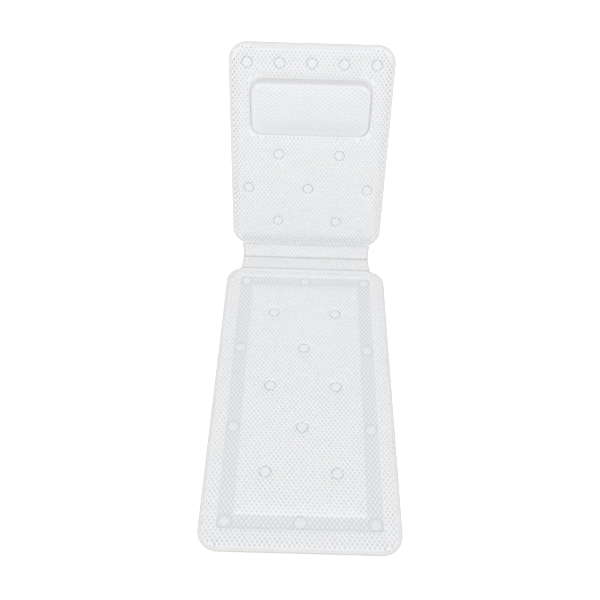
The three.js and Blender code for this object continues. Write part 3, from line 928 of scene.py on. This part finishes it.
# Base sheets: the flat mesh on the underside, open where the cups' stems go through
base = {"edgeMm": 5.05, "sheetMm": 1.1, "beadMm": 0.35, "stemMm": 5.5}


def baseSheet(body, rim, corner, cups):
    level = flatBox(f"{body}_base_sheet", body)[0][2] + base["beadMm"]
    bm, lattice = openMesh(*grown(*rim, -base["edgeMm"]), corner - base["edgeMm"], sides=6, aside=1,
                           left=lambda x, y: nearest(x, y, cups) < base["stemMm"])
    mesh = meshOf(bm, f"{body}_base_mesh")
    shapeSheet(mesh, lattice, flatForm(level, 1), -base["beadMm"])
    mesh.flip_normals()
    addSheet(mesh, body, meshMaterial, f"{body}_base_sheet", base["sheetMm"])


baseSheet("seat", seatRim, seatFace["cornerMm"], seatCups)
baseSheet("back", backRim, backFace["cornerMm"], backCups)
print("base sheets made")

# Welded edges: rounded bands round the panels and the pillow
edgeBand = {"widthMm": 5.0, "roundMm": 1.2, "roundSteps": 3, "cornerSteps": 18, "shadeMm": 1.6,
            "sharpDeg": 60, "creaseDeg": 50, "outlineMm": 0.1, "frameRoundMm": 0.3, "frameShade": 0.4}


def sharpEdges(bm, degrees):
    limit = math.radians(degrees)
    return [e for e in bm.edges if len(e.link_faces) == 2 and e.calc_face_angle() > limit]


def roundOff(bm, edges, offset, steps):
    bmesh.ops.bevel(bm, geom=edges, offset=offset, offset_type="OFFSET", segments=steps, profile=0.5,
                    affect="EDGES", material=-1, clamp_overlap=True)


# painted shade: greyer within shadeMm of an outline, in place of the thin shadow along the cut edge
def paintedOutlineShade(depth):
    return 1 - np.clip(depth / edgeBand["shadeMm"], 0, 1)


def band(name, node, body, corner, width, rounding, shade, foldEdge=None):
    low, high = flatBox(node, body)
    bm = flatGrid(low, high, (1, 1), low[2])
    bmesh.ops.bevel(bm, geom=bm.verts[:], offset=corner, offset_type="OFFSET",
                    segments=edgeBand["cornerSteps"], profile=0.5, affect="VERTICES", material=-1)
    middle = bm.faces[:]
    bmesh.ops.inset_region(bm, faces=middle, thickness=width, use_even_offset=True, use_boundary=True)
    bmesh.ops.delete(bm, geom=middle, context="FACES")
    raiseFaces(bm, high[2] - low[2])

    def onOutline(vert):
        return abs(inside(vert.co.x, vert.co.y, low, high, corner)) < edgeBand["outlineMm"]

    outer = [e for e in sharpEdges(bm, edgeBand["sharpDeg"]) if all(onOutline(v) for v in e.verts)]
    roundOff(bm, outer, rounding, edgeBand["roundSteps"])
    for edge in sharpEdges(bm, edgeBand["creaseDeg"]):
        edge.smooth = False  # the flat faces beside it stay flat
    mesh = meshOf(bm, name)
    co = coordinates(mesh)
    x, y = co[:, 0], co[:, 1]
    share = shade(y, inside(x, y, low, high, corner))
    if foldEdge is not None:
        # along its fold the band lies lower, under the face's mesh
        folded = (np.abs(y - foldEdge) < foldStretch["bandMm"]) & (np.abs(x) < foldStretch["halfMm"])
        share = np.where(folded, 0, share)
        onTop = co[:, 2] > (low[2] + high[2]) / 2
        co[:, 2] -= foldStretch["dipMm"] * onTop * folded
        setCoordinates(mesh, co)
    addLayer(mesh, "edge", share)
    addPiece(mesh, body, weldMaterial, node)


# the rims get painted shade along their outlines, and none along the folds
for body, corner, foldEdge in (("seat", seatFace["cornerMm"], seatRim[1][1]),
                               ("back", backFace["cornerMm"], backRim[0][1])):
    band(f"{body}_edge_band", f"{body}_rim", body, corner, edgeBand["widthMm"], edgeBand["roundMm"],
         lambda y, depth: paintedOutlineShade(depth), foldEdge)
frameIn = flatBox("pillow_weld_frame", "back")[0][0] - pillowBox[0][0]
# painted shade: the band is greyer above the pillow, in the groove there
band("pillow_weld_band", "pillow_weld_frame", "back", pillow["cornerMm"] - frameIn,
     edgeBand["widthMm"] - frameIn, edgeBand["frameRoundMm"],
     lambda y, depth: np.where(y > pillowBox[1][1], edgeBand["frameShade"], 0.0))

# Pieces whose solid is right get its merged copy, with soft edges
softEdge = {"neckRoundMm": 0.5, "neckSharpDeg": 45, "steps": 2, "flatDeg": 1}


def softCopy(name, node, body, rounding, sharpDeg):
    bm = bmesh.new()
    bm.from_mesh(nodes[node].data)
    bmesh.ops.remove_doubles(bm, verts=bm.verts, dist=tiny)
    bmesh.ops.transform(bm, matrix=Matrix.Scale(1 / mm, 4) @ places[body].inverted(), verts=bm.verts)
    flat = math.radians(softEdge["flatDeg"])
    bmesh.ops.dissolve_limit(bm, angle_limit=flat, verts=bm.verts, edges=bm.edges)
    roundOff(bm, sharpEdges(bm, sharpDeg), rounding, softEdge["steps"])
    return meshOf(bm, name)


for body in ("neck_lower", "neck_upper"):
    for side, sign in (("left", -1), ("right", 1)):
        node = f"{body}_rim_{side}"
        mesh = softCopy(f"{body}_edge_{side}", node, body, softEdge["neckRoundMm"],
                        softEdge["neckSharpDeg"])
        co = coordinates(mesh)
        # painted shade along the web's outer edge
        addLayer(mesh, "edge", paintedOutlineShade(neckHalf(body, co[:, 1]) - sign * co[:, 0]))
        addPiece(mesh, body, weldMaterial, node)
print("welded edges made")

# Foam cores, seen only through the holes of the mesh, pressed up against it
foam = {"roundMm": 0.8, "sharpDeg": 60, "fill": 0.9, "cornerMm": 27.9, "cellMm": 6, "underMm": 1.25,
        "leastMm": 0.6, "neckDropMm": 1.0, "sideDropMm": 0.8, "sideReachMm": 16, "outMm": 2.5,
        "skinMm": 1.0}


def addFoam(mesh, body, node):
    addPiece(mesh, body, foamMaterial, node)


def sliced(mesh, step):
    # cut across and along, so that a flat top can swell
    bm = bmesh.new()
    bm.from_mesh(mesh)
    for axis in (0, 1):
        spots = [v.co[axis] for v in bm.verts]
        for k in range(math.ceil(min(spots) / step), math.floor(max(spots) / step) + 1):
            planeCut(bm, (k * step, k * step), axis * math.pi / 2)
    bm.to_mesh(mesh)
    bm.free()


def backThinner(x, y):
    # the back's foam is thinner towards the neck and the sides
    side = np.clip(1 - (backPad[1][0] - np.abs(x)) / foam["sideReachMm"], 0, 1)
    return foam["neckDropMm"] * nearNeck(y) + foam["sideDropMm"] * side


for node, body, form, toWeld in (("seat_border_foam", "seat", seatForm, True),
                                 ("seat_middle_foam", "seat", seatForm, False),
                                 ("back_foam", "back", backForm, True)):
    mesh = softCopy(f"{node}_pad", node, body, foam["roundMm"], foam["sharpDeg"])
    sliced(mesh, foam["cellMm"])
    co = coordinates(mesh)
    if toWeld:
        # the foam fills the pocket up to the weld
        area = (*flatBox(node, body), foam["cornerMm"])
        skin = inside(co[:, 0], co[:, 1], *area) < foam["skinMm"]
        co[:, :2] += outward(co[:, 0], co[:, 1], *area) * skin[:, None] * foam["outMm"]
    x, y, bottom, top = co[:, 0], co[:, 1], co[:, 2].min(), co[:, 2].max()
    thinner = backThinner(x, y) if body == "back" else 0
    under = np.maximum(form(x, y)[0] - foam["underMm"] - thinner, bottom + foam["leastMm"])
    co[:, 2] = bottom + (under - bottom) * (co[:, 2] - bottom) / (top - bottom)
    setCoordinates(mesh, co)
    addFoam(mesh, body, node)

coreArea = grown(*pillowArea, -pillow["coreInsetMm"])
bm = flatGrid(*coreArea, cellCount(*coreArea, pillow["coreCellMm"]))
trimTo(bm, *coreArea, pillow["cornerMm"] - pillow["coreInsetMm"])
raiseFaces(bm, 1)
mesh = meshOf(bm, "pillow_core_pad")
co = coordinates(mesh)
onTop = co[:, 2] > 0.5  # half of what the faces were raised by
moved = rolledOut(co[:, 0], co[:, 1])
coverTop = pillowLevel(co[:, 0], co[:, 1]) + moved[:, 2] - pillow["coreMm"]
bottom = flatBox("pillow_core", "back")[0][2]
co[:, :2] += moved[:, :2] * onTop[:, None]
co[:, 2] = np.where(onTop, np.maximum(coverTop, bottom + pillow["coreLeastMm"]), bottom)
setCoordinates(mesh, co)
addFoam(mesh, "back", "pillow_core")
print("foam cores made")

# Fold seams: knurled weld beads on the three fold lines
seam = {"sides": 12, "knurlMm": 4.33, "stepMm": 1.1, "bendMm": 2.0}
# shade: the share of the weld's greyer colour painted on each bead, as painted shade along the fold's crease
foldLooks = {
    "lower": {"bodies": ("seat", "neck_lower"), "shade": 0.25, "knurlShare": 0.4, "liftMm": 0.8},
    "middle": {"bodies": ("neck_lower", "neck_upper"), "shade": 0.55, "knurlShare": 0.3, "liftMm": 0.3},
    "upper": {"bodies": ("neck_upper", "back"), "shade": 0.0, "knurlShare": 0.14, "liftMm": 0.7},
}


def acrossFold(fold, before, after):
    # two points either side of the fold, on the line that runs across the fold
    along = (places[before].col[1] + places[after].col[1]).to_3d().normalized()
    return [folds[fold] + side * seam["bendMm"] * mm * along for side in (-1, 1)]


def foldSeam(fold, look):
    body, nextBody = look["bodies"]
    node = f"{fold}_fold_seam"
    low, high = flatBox(node, body)
    length, radius = high[0] - low[0], (high[2] - low[2]) / 2
    bm = bmesh.new()
    bmesh.ops.create_cone(bm, cap_ends=True, segments=seam["sides"], radius1=radius, radius2=radius,
                          depth=length)
    lengthwise = [e for e in bm.edges if e.calc_length() > length / 2]
    bmesh.ops.subdivide_edges(bm, edges=lengthwise, cuts=round(length / seam["stepMm"]), use_grid_fill=True)
    for vert in bm.verts:
        wave = 0.5 + 0.5 * math.cos(2 * math.pi * vert.co.z / seam["knurlMm"])
        vert.co.xy *= 1 - look["knurlShare"] * wave
    bmesh.ops.rotate(bm, cent=(0, 0, 0), matrix=Matrix.Rotation(math.pi / 2, 3, "Y"), verts=bm.verts)
    centre = (low + high) / 2
    bmesh.ops.translate(bm, vec=(centre[0], centre[1], centre[2] + look["liftMm"]), verts=bm.verts)
    mesh = meshOf(bm, f"{fold}_seam_bead")
    # painted crease shade on the bead
    addLayer(mesh, "edge", np.full(len(mesh.vertices), look["shade"]))
    addPiece(mesh, body, weldMaterial, node,
             (nextBody, *acrossFold(f"{fold}_fold", body, nextBody)))


for fold, look in foldLooks.items():
    foldSeam(fold, look)
print("fold seams made")

# Suction cups: bell, waist, shoulder below the base sheet, stem, and a head above it
cup = {"steps": 32,
       "profileMm": ((0, 4.0), (2.5, 3.9), (5.2, 3.4), (7.6, 2.4), (9.4, 1.2), (10.6, 0.12), (11.0, 0.0),
                     (11.7, 0.0), (12.0, 0.25), (11.9, 0.7), (11.1, 1.5), (9.6, 2.6), (7.7, 4.0),
                     (6.1, 5.0), (5.2, 5.7), (5.1, 6.2), (5.7, 6.8), (7.0, 7.3), (7.8, 7.7), (8.0, 8.2),
                     (7.7, 8.6), (4.3, 8.7), (4.0, 8.9), (4.0, 10.7), (4.3, 11.0), (8.5, 11.0),
                     (9.0, 11.4), (8.9, 12.2), (8.2, 12.8), (6.0, 13.05), (0, 13.1))}


def suctionCup(name, cx, cy):
    bm = bmesh.new()
    points = [bm.verts.new((r, 0, z)) for r, z in cup["profileMm"]]
    line = [bm.edges.new(pair) for pair in zip(points, points[1:])]
    bmesh.ops.spin(bm, geom=points + line, cent=(0, 0, 0), axis=(0, 0, 1), dvec=(0, 0, 0),
                   angle=2 * math.pi, steps=cup["steps"], use_merge=True)
    bmesh.ops.remove_doubles(bm, verts=bm.verts, dist=cutMm)
    bmesh.ops.recalc_face_normals(bm, faces=bm.faces)
    bmesh.ops.translate(bm, vec=(cx, cy, 0), verts=bm.verts)
    return meshOf(bm, name)


for body, centres in (("seat", seatCups), ("back", backCups)):
    for k, (cx, cy) in enumerate(centres, 1):
        mesh = suctionCup(f"{body}_suction_cup_{k:02d}", cx, cy)
        addPiece(mesh, body, cupMaterial, f"{body}_cup_{k:02d}")
print("cups made")

# Camera, from the perspective of the cup marks and the mesh
camera = {"lensMm": 42.0, "sensorMm": 36.0, "placeMm": (-13.6, -888.0, 1207.0), "downDeg": 49.4,
          "rightDeg": 0.15, "rollDeg": 1.74}
eye = bpy.data.objects.new("camera", bpy.data.cameras.new("camera"))
scene.collection.objects.link(eye)
eye.data.lens = camera["lensMm"]
eye.data.sensor_width = camera["sensorMm"]
eye.matrix_world = (Matrix.Translation(Vector(camera["placeMm"]) * mm)
                    @ Matrix.Rotation(math.radians(-camera["rightDeg"]), 4, "Z")
                    @ Matrix.Rotation(math.radians(90 - camera["downDeg"]), 4, "X")
                    @ Matrix.Rotation(math.radians(camera["rollDeg"]), 4, "Z"))
scene.camera = eye

# Studio: pale floor, even sky, a wide soft lamp overhead and a weak one low in front
studio = {"floorM": 14.0, "floor": "F6F6F6", "skyLight": 0.69, "floorGlow": 0.45}
lamps = {"overhead_lamp": {"watts": 162.0, "sizeM": 6.5, "placeM": (-0.75, -2.2, 6.9)},
         "front_lamp": {"watts": 26.0, "sizeM": 3.0, "placeM": (0.5, -4.5, 1.3)}}


def seenByCamera(tree):
    # 1 for what the camera sees, directly, mirrored or through something clear
    path = addNode(tree, "LightPath")
    seen = path.outputs["Is Camera Ray"]
    for ray in ("Is Glossy Ray", "Is Transmission Ray"):
        either = addNode(tree, "Math", {"operation": "MAXIMUM"}, links={0: seen, 1: path.outputs[ray]})
        seen = either.outputs[0]
    return seen


bm = bmesh.new()
bmesh.ops.create_grid(bm, x_segments=1, y_segments=1, size=studio["floorM"] / 2)
floor = bpy.data.objects.new("floor", meshOf(bm, "floor"))
scene.collection.objects.link(floor)
floorPaint, tree = newMaterial("matt_paper_floor")
glow = addNode(tree, "Math", {"operation": "MULTIPLY"}, {1: studio["floorGlow"]}, {0: seenByCamera(tree)})
shader = addNode(tree, "BsdfPrincipled",
                 values={"Base Color": colour(studio["floor"]), "Roughness": 1.0, "Specular IOR Level": 0.0,
                         "Emission Color": (1, 1, 1, 1)}, links={"Emission Strength": glow.outputs[0]})
addNode(tree, "OutputMaterial", links={"Surface": shader.outputs[0]})
floor.data.materials.append(floorPaint)

scene.world = bpy.data.worlds.new("studio")
scene.world.use_nodes = True
tree = scene.world.node_tree
tree.nodes.clear()
level = addNode(tree, "MapRange", values={"To Min": studio["skyLight"], "To Max": 1.0},
                links={"Value": seenByCamera(tree)})
sky = addNode(tree, "Background", values={"Color": (1, 1, 1, 1)}, links={"Strength": level.outputs[0]})
addNode(tree, "OutputWorld", links={"Surface": sky.outputs[0]})

for name, setting in lamps.items():
    lamp = bpy.data.objects.new(name, bpy.data.lights.new(name, "AREA"))
    scene.collection.objects.link(lamp)
    lamp.data.energy = setting["watts"]
    lamp.data.shape = "DISK"
    lamp.data.size = setting["sizeM"]
    lamp.location = setting["placeM"]
    lamp.rotation_euler = (-Vector(setting["placeM"])).to_track_quat("-Z", "Y").to_euler()
print("camera and studio set")
